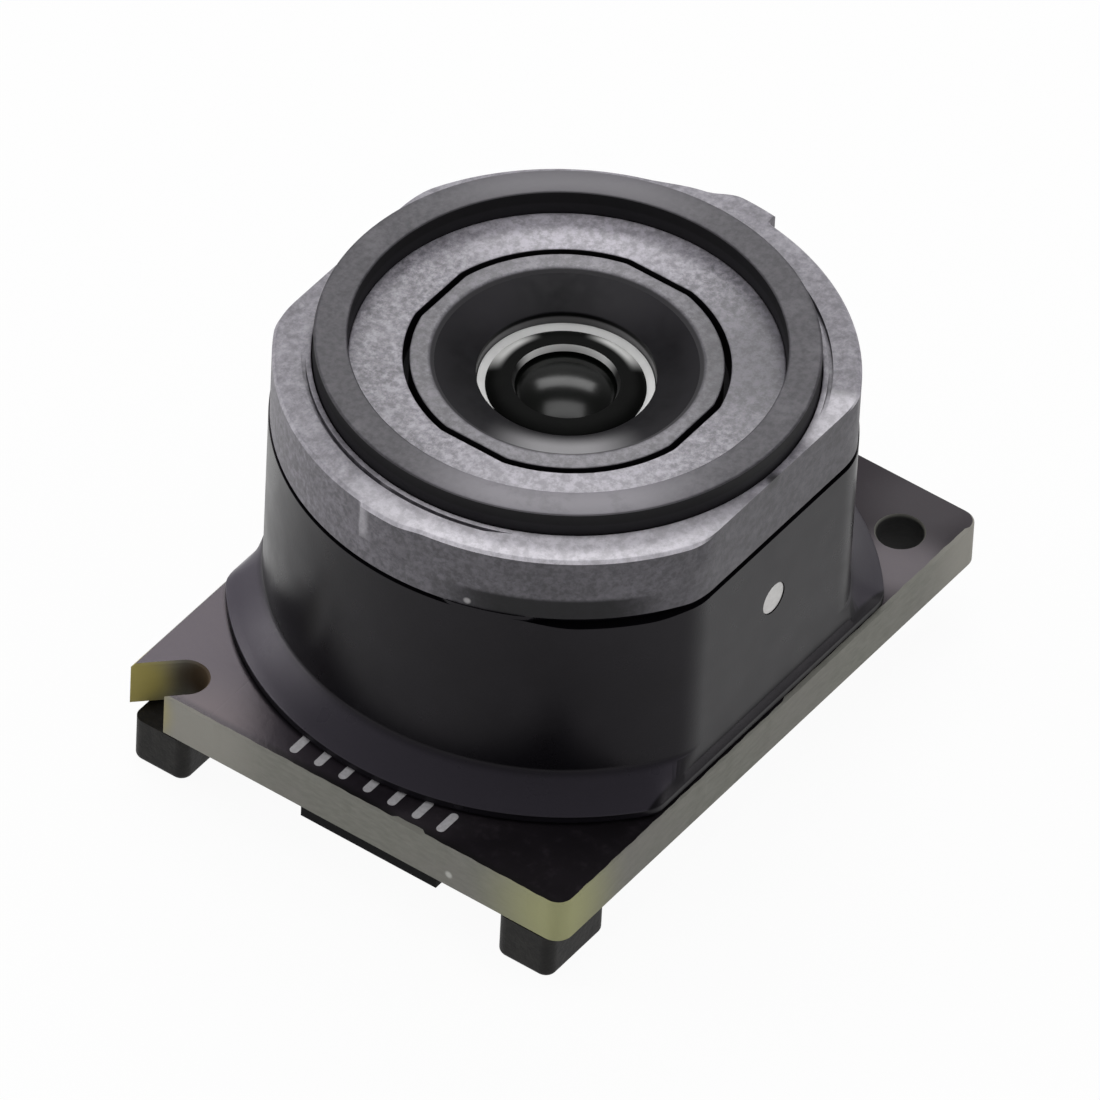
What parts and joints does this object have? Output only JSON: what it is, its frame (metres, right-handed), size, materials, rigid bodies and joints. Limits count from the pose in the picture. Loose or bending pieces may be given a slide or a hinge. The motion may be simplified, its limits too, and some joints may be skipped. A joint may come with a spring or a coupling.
{
  "type": "camera module",
  "caption": "Fixed-focus camera module: a small circuit board with a round lens holder, keyed collar, stepped lens head, spacer feet and a board-to-board plug underneath.",
  "frame": {"origin": "bottom centre of the bounding box: the level of the feet, at the middle of the board", "axes": "+Z along the optical axis towards the scene, +X along the board's long side away from the feet"},
  "size_m": [0.0114, 0.0086, 0.0072],
  "materials": {
    "laminate": "satin solder mask over glass laminate",
    "black_moulding": "smooth black moulding",
    "grey_moulding": "fine blasted texture",
    "barrel_black": "matt black",
    "blasted_grey": "coarse blasted texture",
    "cone_black": "matt anti-glare black",
    "coated_glass": "anti-reflection coating",
    "filter_glass": "infrared cut coating",
    "blackened_metal": "blackened thin metal",
    "silicon": "polished chip package",
    "chip_black": "moulded package",
    "solder": "tin finish",
    "contact_gold": "thin gold plating",
    "connector_plastic": "high-temperature moulding",
    "capacitor_ceramic": "fired ceramic",
    "adhesive": "cured black bond line",
    "white_fill": "cured white filler",
    "foot_black": "matt black moulding"
  },
  "bodies": {
    "root": {"circuit_board": "laminate", "lens_holder": "black_moulding", "holder_collar": "grey_moulding", "lens_barrel": "barrel_black", "front_ring": "blasted_grey", "lip_ring": "blasted_grey", "hood_cone": "cone_black", "lens_element_1": "coated_glass", "spacer_ring_1": "cone_black", "lens_element_2": "coated_glass", "aperture_stop": "blackened_metal", "spacer_ring_2": "cone_black", "lens_element_3": "coated_glass", "spacer_ring_3": "cone_black", "lens_element_4": "coated_glass", "rear_retainer": "cone_black", "ir_filter": "filter_glass", "image_sensor": "silicon", "sensor_cover_glass": "filter_glass", "sensor_solder_balls": "solder", "chamber_capacitors": "capacitor_ceramic", "holder_adhesive": "adhesive", "vent_plug": "white_fill", "spacer_foot_left": "foot_black", "spacer_foot_front": "foot_black", "connector_housing": "connector_plastic", "connector_contacts": "contact_gold", "connector_anchors": "solder", "driver_chip": "chip_black", "driver_terminals": "solder", "memory_chip": "chip_black", "memory_leads": "solder", "underside_capacitors": "capacitor_ceramic", "capacitor_terminals": "solder"}
  },
  "joints": []
}
